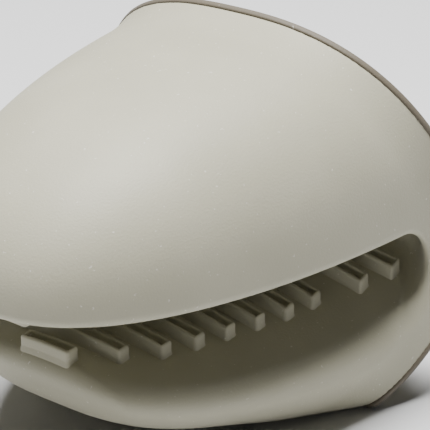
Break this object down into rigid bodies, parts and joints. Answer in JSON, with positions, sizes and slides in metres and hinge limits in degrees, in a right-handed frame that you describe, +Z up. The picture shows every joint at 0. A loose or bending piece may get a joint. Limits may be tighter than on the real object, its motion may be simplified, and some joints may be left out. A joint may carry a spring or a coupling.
{
  "type": "oven mitt",
  "caption": "Moulded silicone pinch mitt for hot pans: a domed finger pocket over a thumb pocket, joined by a bending web, with an open beaded cuff and ribbed gripping faces.",
  "frame": {"origin": "on the resting plane, under the centre of the bounding box", "axes": "+X from the jaw tips to the open cuff, +Y across the mitt to its left side, +Z up out of the resting face"},
  "size_m": [0.1022, 0.091, 0.0779],
  "materials": {
    "silicone": "smooth matte moulded silicone, warm light grey",
    "silicone_grip": "matte moulded silicone of the gripping faces and ribs, warm grey",
    "silicone_edge": "matte moulded silicone edge bead, browner grey"
  },
  "bodies": {
    "thumb": {"thumb_shell": "silicone", "thumb_grip_panel": "silicone_grip", "web_hinge": "silicone_grip", "gusset_left": "silicone", "gusset_right": "silicone", "rim_bead_bottom": "silicone_edge", "rim_bead_left": "silicone_edge", "rim_bead_right": "silicone_edge", "thumb_rib_1": "silicone_grip", "thumb_rib_2": "silicone_grip", "thumb_rib_3": "silicone_grip", "thumb_rib_4": "silicone_grip", "thumb_rib_5": "silicone_grip", "thumb_rib_6": "silicone_grip", "thumb_rib_7": "silicone_grip", "thumb_rib_8": "silicone_grip", "heel_rib_front": "silicone_grip", "heel_rib_back": "silicone_grip"},
    "finger": {"finger_shell": "silicone", "finger_grip_panel": "silicone_grip", "rim_bead_top": "silicone_edge", "finger_rib_1": "silicone_grip", "finger_rib_2": "silicone_grip", "finger_rib_3": "silicone_grip", "finger_rib_4": "silicone_grip", "finger_rib_5": "silicone_grip", "finger_rib_6": "silicone_grip", "finger_rib_7": "silicone_grip", "finger_rib_8": "silicone_grip", "finger_rib_9": "silicone_grip", "finger_rib_10": "silicone_grip"}
  },
  "joints": [
    {"name": "jaw_hinge", "type": "hinge", "parent": "thumb", "child": "finger", "pos_m": [0.03697, 0, 0.03266], "axis": [0, 1, 0], "range_deg": [-6, 40], "stiffness_Nm_per_rad": 0.9, "deforming": ["web_hinge", "gusset_left", "gusset_right", "rim_bead_left", "rim_bead_right"]}
  ]
}
